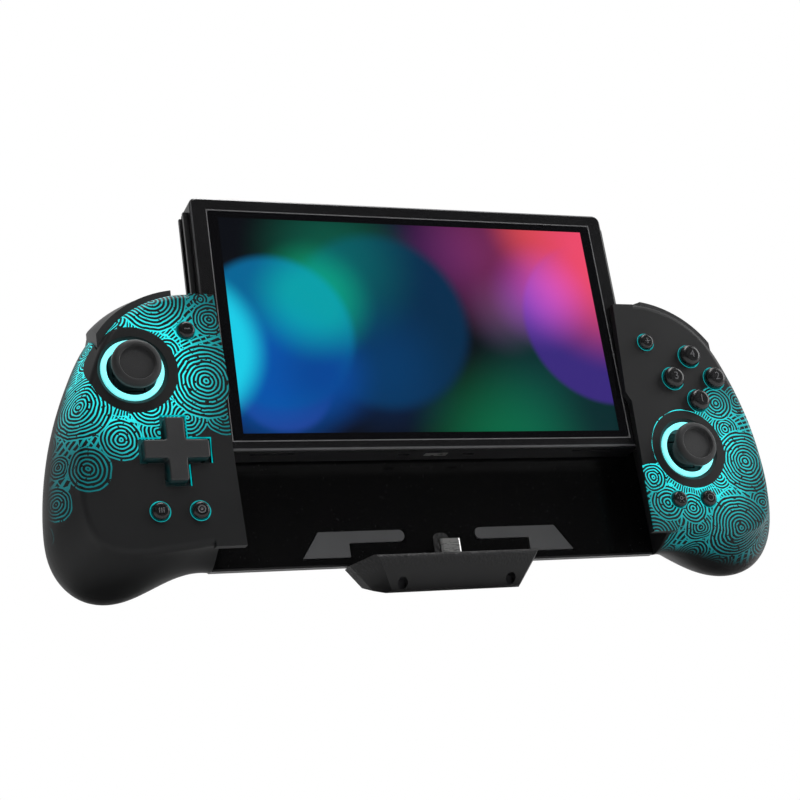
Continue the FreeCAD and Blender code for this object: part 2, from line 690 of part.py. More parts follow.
# ---- buttons ----
for label, step in FACE_BUTTONS.items():
    x, z = face_button_place(step)
    button = turned([("0", "-stem_back"), ("2.4", "-stem_back"), ("2.4", "-grip_wall - 1.2"),
                            ("face_radius + 0.9", "-grip_wall - 1.2"), ("face_radius + 0.9", "-grip_wall - 0.1"),
                            ("face_radius", "-grip_wall - 0.1"), ("face_radius", "face_rise"), ("0", "face_rise")],
                    x, "face_y", z)
    round_rim(button, "2.0", "face_radius", "face_rise")
    named(button, label)
for label, (bx, bz) in SMALL_BUTTONS.items():
    button = turned([("0", "-stem_back"), ("1.8", "-stem_back"), ("1.8", "-grip_wall + 0.1"),
                            ("small_radius", "-grip_wall + 0.1"), ("small_radius", "small_rise"), ("0", "small_rise")],
                    str(bx), "face_y", str(bz))
    round_rim(button, "1.3", "small_radius", "small_rise")
    named(button, label)
for side in (-1, 1):
    x, z = REAR_BUTTON
    wide, high = REAR_BUTTON_SIZE
    body = named(new_body(), f"{SIDES[side]}_rear_button")
    pad(body, "XZ", rectangle(str(side * x - wide / 2), str(side * x + wide / 2),
                              str(z - high / 2), str(z + high / 2)),
        "grip_rear_y - 8", "grip_rear_y")
    dress(body, "Fillet", "2.6", lambda e: along(e, "Y"))
    dress(body, "Fillet", "0.8", lambda e: abs(e.BoundBox.YMin - size("grip_rear_y")) < 1e-3)

# ---- rumble motors ----
motors = []
for side in (-1, 1):
    motors.append(rod("X", "5.4", "14", "112" if side > 0 else "-126", "grip_rear_y - 16", "34"))
named(group(*motors), "rumble_motors")

# ---- bridge: back plate, inset pads, rear cover and ribbon ----
BRIDGE_EDGE = "bridge_half - fit_gap"
PAD_DEPTH = "0.8"


def mirrored(points):
    return [(f"-({u})", v) for u, v in reversed(points)]


pad_top = "seat_top + 13.6"
pad_arm = "seat_top + 8.2"
pad_outline = [("36.6", "seat_top + 2.8"), ("56.4", "seat_top + 2.8"), ("49.2", pad_top), ("14.2", pad_top),
               ("14.2", pad_arm), ("36.6", pad_arm)]
plate = named(new_body(), "back_plate")
pad(plate, "XZ", rectangle(f"-({BRIDGE_EDGE})", BRIDGE_EDGE, "seat_top", "plate_top"), "plate_y", "plate_rear_y")
for outline in (pad_outline, mirrored(pad_outline)):
    pocket(plate, "XZ", outline, "plate_y - 0.01", f"plate_y + {PAD_DEPTH}")
dress(plate, "Chamfer", "0.6", lambda e: along(e, "X") and abs(middle(e).y - size("plate_y")) < 0.02
      and e.Length > 100)
plate_pads = []
for side in (-1, 1):
    inset_pad = new_body()
    grow = [("36.6 + pad_gap", "seat_top + 2.8 + pad_gap"),
            ("56.4 - 1.8 * pad_gap", "seat_top + 2.8 + pad_gap"),
            ("49.2 - pad_gap", f"{pad_top} - pad_gap"), ("14.2 + pad_gap", f"{pad_top} - pad_gap"),
            ("14.2 + pad_gap", f"{pad_arm} + pad_gap"), ("36.6 + pad_gap", f"{pad_arm} + pad_gap")]
    pad(inset_pad, "XZ", grow if side > 0 else mirrored(grow), "plate_y - 0.2", f"plate_y + {PAD_DEPTH}")
    end = size("14.2 + pad_gap")
    dress(inset_pad, "Fillet", "2.1", lambda e: along(e, "Y") and abs(abs(middle(e).x) - end) < 0.01)
    plate_pads.append(inset_pad)
named(group(*plate_pads), "plate_pads")

rear_cover = named(new_body(), "bridge_rear_cover")
pad(rear_cover, "XZ", rectangle(f"-({BRIDGE_EDGE})", BRIDGE_EDGE, "seat_top", "plate_top"),
    "plate_rear_y", "bridge_rear_y")
dress(rear_cover, "Fillet", "3.0", lambda e: along(e, "X") and abs(middle(e).y - size("bridge_rear_y")) < 0.01
      and middle(e).z > size("plate_top") - 1)
pocket(rear_cover, "XZ", rectangle(f"-({BRIDGE_EDGE} - bridge_wall)", f"{BRIDGE_EDGE} - bridge_wall",
                                   "seat_top + bridge_wall + bevel_rise", "plate_top - bridge_wall"),
       "plate_rear_y - 0.01", "bridge_rear_y - bridge_wall")
pocket(rear_cover, "YZ", [("plate_rear_y + 1", "seat_top"), ("bridge_rear_y", "seat_top + bevel_rise"),
                          ("bridge_rear_y + 1", "seat_top + bevel_rise"), ("bridge_rear_y + 1", "seat_top - 1"),
                          ("plate_rear_y + 1", "seat_top - 1")], "-100", "100")
pocket(rear_cover, "XZ", rectangle("-62", "62", "seat_top + 24", "plate_top - 18"),
       "bridge_rear_y - 0.9", "bridge_rear_y + 1")
ribbon_y0 = "plate_rear_y + 3"
slots = cut(rear_cover, box("-100", "100", f"{ribbon_y0} - 0.8", f"{ribbon_y0} + 1.2", *map(str, RIBBON_SLOT)))
SUBPARTS.remove(rear_cover)
rear_cover.Label = "cover_form"
named(slots, "bridge_rear_cover")
named(box("-(bridge_half + 5)", "bridge_half + 5", ribbon_y0, f"{ribbon_y0} + 0.3", str(RIBBON_SLOT[0] + 1.5),
          str(RIBBON_SLOT[1] - 1.5)), "bridge_ribbon")

# ---- dock chin ----
chin = named(new_body(), "chin_cover")


def trapezoid(narrow):
    top = f"chin_half_top - {narrow}"
    low = f"chin_half_low - {narrow}"
    return [(f"-({low})", "0"), (low, "0"), (top, "seat_top"), (f"-({top})", "seat_top")]


front_face = sketch_on(chin, "XZ", "glass_y")
polygon(front_face, trapezoid("chin_taper"))
back_face = sketch_on(chin, "XZ", "plate_y")
polygon(back_face, trapezoid("0"))
loft = chin.newObject("PartDesign::AdditiveLoft", "Loft")
loft.Profile = front_face
loft.Sections = [back_face]
loft.Ruled = True
doc.recompute()
pad(chin, "XZ", trapezoid("0"), "plate_y", "chin_rear_y")
pocket(chin, "YZ", [("glass_y", "seat_top - 1.8"), ("glass_y + chin_rake", "0"), ("glass_y + chin_rake", "-1"),
                    ("glass_y - 1", "-1"), ("glass_y - 1", "seat_top - 1.8")], "-60", "60")
dress(chin, "Fillet", "1.2", lambda e: along(e, "X") and middle(e).z > size("seat_top") - 3
      and middle(e).y < size("glass_y") + 1)
pocket(chin, "YZ", [("chin_rear_y - 9.5", "0"), ("chin_rear_y + 1", "5.25"), ("chin_rear_y + 1", "-1"),
                    ("chin_rear_y - 9.5", "-1")], "-60", "60")
roof = "seat_top - chin_wall"
pocket(chin, "YZ", [("glass_y + chin_rake + 1.4", roof), ("glass_y + chin_rake + 1.4", "chin_wall"),
                    ("chin_rear_y - 9.2", "chin_wall"), ("chin_rear_y + 0.1", "chin_wall + 4.65"),
                    ("chin_rear_y + 0.1", roof)], "-18.5", "18.5")
SUBPARTS.remove(chin)
chin.Label = "chin_form"
plug_x = "plug_width / 2"
plug_y = "plug_thick / 2"
slot_tool = box(f"-({plug_x} + fit_gap)", f"{plug_x} + fit_gap", f"tablet_mid_y - {plug_y} - fit_gap",
                f"tablet_mid_y + {plug_y} + fit_gap", "seat_top - 4", "seat_top + 1")
screw_x = "chin_half_low - 6.6"
carrier_room = box("-10.1", "10.1", "tablet_mid_y - 1.1", "tablet_mid_y + 9.1", "5.3", "seat_top - 3.9")
chin_tools = [slot_tool, carrier_room]
for side in (-1, 1):
    chin_tools.append(rod("Y", "head_radius + fit_gap", "10", f"{side} * ({screw_x})", "glass_y - 1", "2.2"))
    chin_tools.append(rod("Y", "screw_radius + fit_gap", "3.6", f"{side} * ({screw_x})", "glass_y + 8", "2.2"))
arch = new_body()
pad(arch, "XZ", rectangle("-3.3", "3.3", "seat_top - 1", "seat_top + 11.4"), "plate_y - 0.35", "plate_y")
dress(arch, "Fillet", "2.6", lambda e: along(e, "Y") and middle(e).z > size("seat_top") + 5)
named(fuse(cut(chin, *chin_tools), arch), "chin_cover")
named(box("-18.4", "18.4", "chin_rear_y - 1.6", "chin_rear_y", "chin_wall + 4.8",
          "seat_top - chin_wall - fit_gap"), "chin_rear_cover")

# ---- USB-C plug ----
blank = new_body()
pad(blank, "XY", rectangle(f"-({plug_x})", plug_x, f"tablet_mid_y - {plug_y}", f"tablet_mid_y + {plug_y}"),
    "seat_top - 4", "seat_top + plug_rise")
dress(blank, "Fillet", "1.1", lambda e: along(e, "Z"))
bore = new_body()
pad(bore, "XY", rectangle(f"-({plug_x} - plug_skin)", f"{plug_x} - plug_skin",
                          f"tablet_mid_y - {plug_y} + plug_skin", f"tablet_mid_y + {plug_y} - plug_skin"),
    "seat_top - 5", "seat_top + plug_rise + 1")
dress(bore, "Fillet", "0.8", lambda e: along(e, "Z"))
named(cut(blank, bore), "plug_shell")
core = new_body()
pad(core, "XY", rectangle(f"-({plug_x} - plug_skin - 0.1)", f"{plug_x} - plug_skin - 0.1",
                          f"tablet_mid_y - {plug_y} + plug_skin + 0.1", f"tablet_mid_y + {plug_y} - plug_skin - 0.1"),
    "seat_top - 4", "seat_top + plug_rise - 0.6")
dress(core, "Fillet", "0.75", lambda e: along(e, "Z"))
core_slot = box("-3.5", "3.5", "tablet_mid_y - 0.5", "tablet_mid_y + 0.5",
                "seat_top + 1", "seat_top + plug_rise + 1")
carrier = box("-10", "10", "tablet_mid_y - 1", "tablet_mid_y + 9", "5.4", "seat_top - 4")
named(fuse(cut(core, core_slot), carrier), "plug_core")

# ---- screws ----
screws = []
for side in (-1, 1):
    for x, z in SHELL_SCREWS:
        head = rod("Y", "head_radius", "1.3", str(side * x), "parting_y + 7", str(z))
        shank = rod("Y", "screw_radius", "14", str(side * x), "parting_y - 7", str(z))
        screws.append(fuse(head, shank))
    head = rod("Y", "head_radius", "1.2", f"{side} * ({screw_x})", "glass_y + 7.8", "2.2")
    shank = rod("Y", "screw_radius", "2.4", f"{side} * ({screw_x})", "glass_y + 8.5", "2.2")
    screws.append(fuse(head, shank))
named(group(*screws), "cover_screws")

# ---- tablet ----
FRONT_BACK = "glass_y + frame_thick"
T = "tablet_half"
tray = new_body()
pad(tray, "XZ", rectangle(f"-{T}", T, "tablet_bottom", "tablet_top"), FRONT_BACK, "tablet_rear_y")
dress(tray, "Fillet", "3.0", lambda e: along(e, "Y"))
dress(tray, "Fillet", "1.6", lambda e: abs(e.BoundBox.YMin - size("tablet_rear_y")) < 1e-3)
pocket(tray, "XZ", rectangle(f"-({T} - tablet_wall)", f"{T} - tablet_wall", "tablet_bottom + tablet_wall",
                             "tablet_top - tablet_wall"), f"{FRONT_BACK} - 0.01", "tablet_rear_y - 3.4")
pocket(tray, "XZ", rectangle("-80", "80", "tablet_bottom + 3", "tablet_bottom + 58"), "tablet_rear_y - 1.7",
       "tablet_rear_y + 1")
top_tools = []
PORT_X = "(plug_width / 2 + port_gap + 0.4)"
PORT_Y = "(plug_thick / 2 + port_gap + 0.4)"
MID = "tablet_mid_y"
low_tools = [box(f"-({PORT_X} + fit_gap)", f"{PORT_X} + fit_gap", f"{MID} - {PORT_Y} - fit_gap",
                 f"{MID} + {PORT_Y} + fit_gap", "tablet_bottom - 1", "tablet_bottom + 3")]
for x in (-13.4, 13.4):
    low_tools.append(box(str(x - 2.4), str(x + 2.4), f"{MID} - 1", f"{MID} + 1", "tablet_bottom - 1",
                         "tablet_bottom + 0.9"))
for x in (-66, 66):
    low_tools.append(box(str(x - 8.5), str(x + 8.5), f"{MID} - 3", f"{MID} - 1.6", "tablet_bottom - 1",
                         "tablet_bottom + 3"))
for x0, x1, half in ((-76.3, -67.7, 1.6), (-62.3, -43.7, 1.6), (29.7, 58.3, 2.1)):
    top_tools.append(box(str(x0), str(x1), f"{MID} - {half}", f"{MID} + {half}",
                         "tablet_top - 3", "tablet_top + 1"))
for i in range(8):
    x = -30 + 6.5 * i
    top_tools.append(box(str(x), str(x + 4.4), f"{MID} - 1.2", f"{MID} + 1.2",
                         "tablet_top - 3", "tablet_top + 1"))
JACK_X = "72"
top_tools.append(rod("Z", "jack_radius", "16", JACK_X, MID, "tablet_top - 14"))
jack = cut(box(f"{JACK_X} - 3.2", f"{JACK_X} + 3.2", f"{MID} - 3", f"{MID} + 3",
               "tablet_top - tablet_wall - 13",
               "tablet_top - tablet_wall"),
           rod("Z", "jack_radius", "14", JACK_X, MID, "tablet_top - tablet_wall - 12"))
named(jack, "tablet_headphone_jack")
named(cut(tray, *low_tools, *top_tools), "tablet_rear_shell")

frame = named(new_body(), "tablet_front_frame")
pad(frame, "XZ", rectangle(f"-{T}", T, "tablet_bottom", "tablet_top"), "glass_y", FRONT_BACK)
dress(frame, "Fillet", "3.0", lambda e: along(e, "Y"))
dress(frame, "Chamfer", "0.9", lambda e: abs(e.BoundBox.YMax - size("glass_y")) < 1e-3)
half_glass = "glass_width / 2 + fit_gap"
pocket(frame, "XZ", rectangle(f"-({half_glass})", half_glass, "glass_mid_z - glass_height / 2 - fit_gap",
                              "glass_mid_z + glass_height / 2 + fit_gap"), "glass_y - 1", f"{FRONT_BACK} + 0.1")
glass = named(new_body(), "tablet_glass")
pad(glass, "XZ", rectangle("-glass_width / 2", "glass_width / 2", "glass_mid_z - glass_height / 2",
                           "glass_mid_z + glass_height / 2"), "glass_y + 0.1", "glass_y + 0.1 + glass_thick")
dress(glass, "Fillet", "1.5", lambda e: along(e, "Y"))
named(box("-79", "79", f"{FRONT_BACK} - 0.1", f"{FRONT_BACK} - 0.1 + panel_thick", "glass_mid_z - 45",
          "glass_mid_z + 45"), "tablet_display_panel")
named(box("-78", "-8", f"{FRONT_BACK} + 2.6", f"{FRONT_BACK} + 6.4", "tablet_bottom + 20", "tablet_top - 14"),
      "tablet_battery")
named(box("-4", "82", f"{FRONT_BACK} + 3", f"{FRONT_BACK} + 4.2", "tablet_bottom + 12", "tablet_top - 20"),
      "tablet_mainboard")
port_hole = box(f"-({PORT_X} - 0.4)", f"{PORT_X} - 0.4", f"{MID} - {PORT_Y} + 0.4", f"{MID} + {PORT_Y} - 0.4",
                "tablet_bottom - 1", "tablet_bottom + 7.4")
port_body = box(f"-({PORT_X})", PORT_X, f"{MID} - {PORT_Y}", f"{MID} + {PORT_Y}", "tablet_bottom + 0.1",
                "tablet_bottom + 8.4")
port_tongue = box("-3.3", "3.3", f"{MID} - 0.35", f"{MID} + 0.35", "tablet_bottom + 1.6", "tablet_bottom + 7.6")
named(fuse(cut(port_body, port_hole), port_tongue), "tablet_usb_port")
rails = []
for side in (-1, 1):
    x0 = f"{side} * ({T})" if side > 0 else f"-({T} + rail_stand)"
    x1 = f"{T} + rail_stand" if side > 0 else f"-({T})"
    strip = box(x0, x1, f"{MID} - rail_width / 2", f"{MID} + rail_width / 2",
                "tablet_bottom + 3", "tablet_top - 5")
    groove_x0 = f"{T} + 0.8" if side > 0 else f"-({T} + rail_stand + 1)"
    groove_x1 = f"{T} + rail_stand + 1" if side > 0 else f"-({T} + 0.8)"
    groove = box(groove_x0, groove_x1, f"{MID} - rail_width / 2 + 1.5", f"{MID} + rail_width / 2 - 1.5",
                 "tablet_bottom + 8", "tablet_top + 1")
    rails.append(cut(strip, groove))
named(group(*rails), "tablet_side_rails")
stand = named(new_body(), "tablet_kickstand")
pad(stand, "XZ", rectangle("-79.7", "79.7", "tablet_bottom + 3.3", "tablet_bottom + 57.7"), "tablet_rear_y - 1.6",
    "tablet_rear_y - 0.1")
dress(stand, "Fillet", "2.0", lambda e: along(e, "Y"))
for label, x0, x1, half, low, high in (("tablet_power_button", -76, -68, 1.3, -2.4, 0.5),
                                       ("tablet_volume_rocker", -62, -44, 1.3, -2.4, 0.5),
                                       ("tablet_card_door", 30, 58, 1.8, -1.4, 0.1)):
    key = named(new_body(), label)
    pad(key, "XY", rectangle(str(x0), str(x1), f"{MID} - {half}", f"{MID} + {half}"), f"tablet_top + {low}",
        f"tablet_top + {high}")
    dress(key, "Fillet", "1.0", lambda e: along(e, "Z"))

# ---- checks and files ----
doc.recompute()
for obj in doc.Objects:
    if "Invalid" in obj.State or "Error" in obj.State:
        raise ValueError(f"{obj.Label} failed")
for obj in SUBPARTS:
    if obj.Shape.isNull() or not obj.Shape.isValid() or not obj.Shape.Solids:
        raise ValueError(f"{obj.Label} has no valid solid")
os.makedirs("parts", exist_ok=True)
for obj in SUBPARTS:
    obj.Shape.exportStep(f"parts/{obj.Label}.step")
    print(obj.Label, len(obj.Shape.Solids), round(obj.Shape.Volume, 1))
print(len(SUBPARTS), "sub-parts")
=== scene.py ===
import json
import math

import bmesh
import bpy
from mathutils import Matrix, Vector


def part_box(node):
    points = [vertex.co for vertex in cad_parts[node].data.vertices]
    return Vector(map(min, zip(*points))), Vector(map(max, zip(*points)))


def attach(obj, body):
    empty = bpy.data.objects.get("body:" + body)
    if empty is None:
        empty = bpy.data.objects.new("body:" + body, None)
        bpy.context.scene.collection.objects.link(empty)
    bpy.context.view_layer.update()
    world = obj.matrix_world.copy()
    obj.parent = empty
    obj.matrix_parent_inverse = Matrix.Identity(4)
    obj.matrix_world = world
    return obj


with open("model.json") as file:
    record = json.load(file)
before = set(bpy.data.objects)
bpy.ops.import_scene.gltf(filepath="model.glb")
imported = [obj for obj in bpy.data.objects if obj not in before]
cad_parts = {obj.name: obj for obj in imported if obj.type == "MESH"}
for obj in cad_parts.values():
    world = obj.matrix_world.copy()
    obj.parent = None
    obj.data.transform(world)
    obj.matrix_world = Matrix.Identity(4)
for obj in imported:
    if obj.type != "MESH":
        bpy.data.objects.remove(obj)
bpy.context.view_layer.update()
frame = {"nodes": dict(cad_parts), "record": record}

MM = 0.001
FACE_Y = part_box("left_front_shell")[0].y
PARTING_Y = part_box("left_front_shell")[1].y


# ---- shader maths ----

class Value:
    """A number or vector that varies over a surface."""

    def __init__(self, finish, socket):
        self.finish = finish
        self.socket = socket

    def __add__(self, other):
        return self.finish.math("ADD", self, other)

    def __sub__(self, other):
        return self.finish.math("SUBTRACT", self, other)

    def __rsub__(self, other):
        return self.finish.math("SUBTRACT", other, self)

    def __mul__(self, other):
        return self.finish.math("MULTIPLY", self, other)

    def __truediv__(self, other):
        return self.finish.math("DIVIDE", self, other)

    def __gt__(self, other):
        return self.finish.math("GREATER_THAN", self, other)

    def __lt__(self, other):
        return self.finish.math("LESS_THAN", self, other)

    def __pow__(self, other):
        return self.finish.math("POWER", self, other)

    __radd__ = __add__
    __rmul__ = __mul__

    def fraction(self):
        return self.finish.math("FRACT", self)

    def size(self):
        return self.finish.math("ABSOLUTE", self)


class Finish:
    """A material with its shader, and the one way its nodes are made."""

    def __init__(self, name, **fixed):
        self.material = bpy.data.materials.new(name)
        self.material.use_nodes = True
        self.tree = self.material.node_tree
        self.surface = self.tree.nodes["Principled BSDF"]
        self.set(**fixed)
        self.place = self.get(self.node("TexCoord"), "Object")

    def node(self, kind, settings=None, inputs=None):
        made = self.tree.nodes.new("ShaderNode" + kind)
        for name, value in (settings or {}).items():
            if name == "stops":
                ramp = made.color_ramp.elements
                while len(ramp) < len(value):
                    ramp.new(0.5)
                for stop, (at, colour) in zip(ramp, value):
                    stop.position = at
                    stop.color = (*colour, 1)
            else:
                setattr(made, name, value)
        for name, value in (inputs or {}).items():
            self.feed(made.inputs[name], value)
        return made

    def feed(self, socket, value):
        if isinstance(value, Value):
            self.tree.links.new(value.socket, socket)
        else:
            socket.default_value = value

    def get(self, made, output=0):
        return Value(self, made.outputs[output])

    def math(self, operation, first, second=0.0):
        return self.get(self.node("Math", {"operation": operation}, {0: first, 1: second}))

    def vector(self, operation, first, second):
        return self.get(self.node("VectorMath", {"operation": operation}, {0: first, 1: second}))

    def scaled(self, vector, factor):
        return self.get(self.node("VectorMath", {"operation": "SCALE"}, {0: vector, "Scale": factor}))

    def reach(self, first, second):
        """Distance between two places."""
        made = self.node("VectorMath", {"operation": "DISTANCE"}, {0: first, 1: second})
        return self.get(made, "Value")

    def axes(self, vector):
        made = self.node("SeparateXYZ", None, {0: vector})
        return [self.get(made, axis) for axis in "XYZ"]

    def joined(self, x, y, z):
        return self.get(self.node("CombineXYZ", None, {0: x, 1: y, 2: z}))

    def noise(self, grain, detail=2.0, at=None, output="Fac"):
        """Soft random values; grain is the size of one blotch in metres."""
        inputs = {"Vector": at or self.place, "Scale": 1 / grain, "Detail": detail}
        return self.get(self.node("TexNoise", None, inputs), output)

    def cells(self, grain, feature="F1", at=None):
        inputs = {"Vector": at or self.place, "Scale": 1 / grain}
        return self.get(self.node("TexVoronoi", {"feature": feature}, inputs), "Distance")

    def blend(self, factor, first, second, mode="MIX"):
        """One colour mixed into another."""
        colours = [c if isinstance(c, Value) else (*c, 1) for c in (first, second)]
        settings = {"data_type": "RGBA", "blend_type": mode}
        made = self.node("Mix", settings, {"Factor": factor, 6: colours[0], 7: colours[1]})
        return self.get(made, 2)

    def choose(self, factor, first, second):
        """One number mixed into another."""
        return self.get(self.node("Mix", {"data_type": "FLOAT"}, {0: factor, 2: first, 3: second}))

    def soft_step(self, value, low, high):
        inputs = {"Value": value, "From Min": low, "From Max": high}
        return self.get(self.node("MapRange", {"interpolation_type": "SMOOTHSTEP"}, inputs))

    def bump(self, height, depth):
        """Raises the surface by height (0 to 1) times depth in metres."""
        made = self.node("Bump", None, {"Height": height, "Distance": depth, "Strength": 1.0})
        self.set(Normal=self.get(made))

    def set(self, **sockets):
        for name, value in sockets.items():
            if isinstance(value, tuple) and len(value) == 3:
                value = (*value, 1)
            self.feed(self.surface.inputs[name.replace("_", " ")], value)


def moulded(name, dark, light, rough, grain=0.00045, depth=0.00003, shine=0.5, spread=0.06):
    """Moulded plastic: mottled colour, handling marks in the gloss and a fine spark texture."""
    finish = Finish(name, Specular_IOR_Level=shine)
    cloud = finish.noise(0.018, 3.0)
    speck = finish.noise(grain, 1.0)
    finish.set(Base_Color=finish.blend(cloud, dark, light))
    finish.set(Roughness=rough + (cloud - 0.5) * spread * 2 + (speck - 0.5) * spread)
    finish.bump(speck, depth)
    return finish


# ---- grips: plain matt shell with a lit line pattern ----

# Circles of the line pattern: (x, z, radius, ring spacing) in millimetres, the ones on top first.
LEFT_RINGS = [
    (-90.5, 77.7, 14.6, 1.5), (-138.2, 69.2, 13.6, 1.42), (-107.4, 109.6, 12.9, 1.45),
    (-86.8, 101.9, 6.8, 1.3),
    (-123.4, 55.5, 7.9, 1.4), (-135.8, 44.9, 8.4, 1.5), (-149.6, 32.6, 7.0, 1.35), (-148.4, 47.0, 5.3, 1.25),
    (-156.4, 20.2, 5.4, 1.2), (-103.8, 89.1, 5.4, 1.3), (-132.6, 97.4, 4.6, 1.2), (-133.0, 89.4, 4.6, 1.2),
    (-156.5, 58.5, 7.4, 1.35), (-89.1, 109.9, 3.2, 1.2), (-124.2, 102.6, 7.4, 1.35), (-112.0, 68.6, 8.4, 1.4),
    (-152.0, 84.0, 8.6, 1.4), (-98.9, 63.8, 7.6, 1.35), (-85.4, 64.2, 7.2, 1.35), (-109.6, 58.0, 7.4, 1.35),
    (-160.5, 40.0, 6.6, 1.3), (-143.5, 100.0, 7.0, 1.35), (-94.0, 118.0, 7.5, 1.35), (-166.0, 24.0, 6.2, 1.3),
]
LEFT_GROUND = [(-96.0, 96.0, 31.5), (-132.0, 82.0, 31.0), (-119.0, 62.0, 11.5), (-147.0, 52.0, 12.0),
               (-162.0, 45.0, 20.0)]
RIGHT_RINGS = [
    (130.6, 43.6, 13.4, 1.4), (122.0, 16.0, 14.0, 1.45), (122.6, 68.8, 7.4, 1.35), (124.4, 57.6, 6.2, 1.25),
    (86.4, 37.6, 6.0, 1.3), (90.7, 27.2, 7.6, 1.4), (101.6, 24.6, 6.4, 1.3), (117.0, 37.4, 5.4, 1.2),
    (103.4, 16.8, 6.9, 1.3), (105.3, 49.4, 16.6, 1.5), (83.2, 14.6, 11.5, 1.4), (133.0, 70.0, 6.4, 1.3),
    (134.4, 26.4, 6.0, 1.25), (145.0, 58.0, 7.4, 1.35), (92.0, 3.6, 5.6, 1.25), (105.0, 3.4, 7.0, 1.3),
    (118.0, -2.6, 7.4, 1.35), (148.0, 36.0, 7.8, 1.35), (140.0, 10.0, 8.6, 1.4), (136.0, 82.0, 5.2, 1.25),
    (130.0, -10.0, 7.0, 1.35), (152.0, 20.0, 7.2, 1.35),
]
RIGHT_GROUND = [(126.0, 40.0, 28.0), (104.0, 26.0, 23.0), (124.0, 60.0, 13.6), (110.0, 6.0, 27.0),
                (140.0, 44.0, 24.0), (86.0, 24.0, 19.0)]
LINE_NEAR = (0.03, 0.90, 0.92)
LINE_FAR = (0.008, 0.30, 0.33)
DASHES = 104
WRAP = 0.5
LINE_SHAKE = 1.1
RING_LINE = 0.40
INNER_WALL = 92.0
BEZEL_EDGE = 16.4


def grip_plastic(name, rings, ground, stick, heart):
    """The grip's skin; the pattern is laid over the face and wrapped round the side walls."""
    finish = Finish(name, Specular_IOR_Level=0.28)
    x, y, z = [axis / MM for axis in finish.axes(finish.place)]
    back = y - FACE_Y / MM
    flat = finish.joined(x, 0.0, z)
    outwards = finish.vector("NORMALIZE", finish.vector("SUBTRACT", flat, (heart[0], 0, heart[1])), (0, 0, 0))
    wrapped = finish.vector("ADD", flat, finish.scaled(outwards, back * WRAP))
    shake = finish.vector("SUBTRACT", finish.noise(0.0042, 1.0, output="Color"), (0.5, 0.5, 0.5))
    spot = finish.vector("ADD", wrapped, finish.scaled(shake, LINE_SHAKE))
    spot = finish.vector("MULTIPLY", spot, (1, 0, 1))
    turns = finish.math("ADD", -1.0, 0.0)
    for ring_x, ring_z, radius, spacing in reversed(rings):
        count = (radius - finish.reach(spot, (ring_x, 0, ring_z))) / spacing
        turns = finish.choose(count > 0, turns, count)
    in_ring = turns > 0
    worn = finish.noise(0.0016, 1.0)
    ring_line = (turns.fraction() < RING_LINE) * (worn > 0.34)
    from_stick = finish.axes(finish.vector("SUBTRACT", spot, (stick[0], 0, stick[1])))
    turn = finish.math("ARCTAN2", from_stick[2], from_stick[0]) * (DASHES / (2 * math.pi))
    stick_reach = finish.reach(spot, (stick[0], 0, stick[1]))
    rows = stick_reach * 0.3 + finish.noise(0.006, 1.0) * 2.4
    bars = ((turn + rows * 0.12).fraction() < 0.58) * (rows.fraction() < 0.82)
    filled = finish.math("ADD", 0.0, 0.0)
    for spot_x, spot_z, radius in ground:
        inside = finish.reach(spot, (spot_x, 0, spot_z)) < radius
        filled = finish.math("MAXIMUM", filled, inside)
    line = finish.choose(in_ring, filled * (1 - bars), ring_line)
    inner_wall = (x.size() < INNER_WALL) * (back > 0.6)
    line = line * (1 - finish.soft_step(back, 9.0, 17.0)) * (1 - inner_wall)
    from_ring = finish.reach(flat, (stick[0], 0, stick[1]))
    line = line * (from_ring > BEZEL_EDGE)
    near = 1 - finish.soft_step(from_ring, 14.0, 44.0)
    patchy = finish.noise(0.012, 2.0)
    glow = (0.38 + near * 0.72) * (0.34 + patchy * 1.15)
    cloud = finish.noise(0.02, 3.0)
    speck = finish.noise(0.00034, 1.0)
    seam = (y - PARTING_Y / MM).size() < 0.14
    shell = finish.blend(cloud, (0.0095, 0.0097, 0.0101), (0.0135, 0.0138, 0.0144))
    dark_ground = finish.math("MAXIMUM", in_ring, filled) * (from_ring > BEZEL_EDGE) * (1 - inner_wall)
    dark_ground = dark_ground * (1 - finish.soft_step(back, 7.0, 17.0))
    shell = finish.blend(dark_ground * 0.75, shell, (0.002, 0.003, 0.0032))
    shell = finish.blend(seam, shell, (0.002, 0.002, 0.002))
    paint = finish.blend(near, LINE_FAR, LINE_NEAR)
    finish.set(Base_Color=finish.blend(line, shell, finish.blend(0.85, paint, (0.002, 0.02, 0.022))))
    finish.set(Emission_Color=finish.blend(line * glow, (0.0, 0.0, 0.0), paint), Emission_Strength=1.0)
    finish.set(Roughness=0.46 + (cloud - 0.5) * 0.12 + (speck - 0.5) * 0.1 - line * 0.12)
    finish.bump(speck * 0.25 + line * 0.9 - seam, 0.00006)
    return finish


# ---- screen: soft discs of coloured light behind the glass ----

GLASS_LOW, GLASS_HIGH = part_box("tablet_glass")
SCREEN_X = (GLASS_LOW.x + GLASS_HIGH.x) / 2 / MM
SCREEN_Z = (GLASS_LOW.z + GLASS_HIGH.z) / 2 / MM
SCREEN_HALF = (77.5, 43.6)
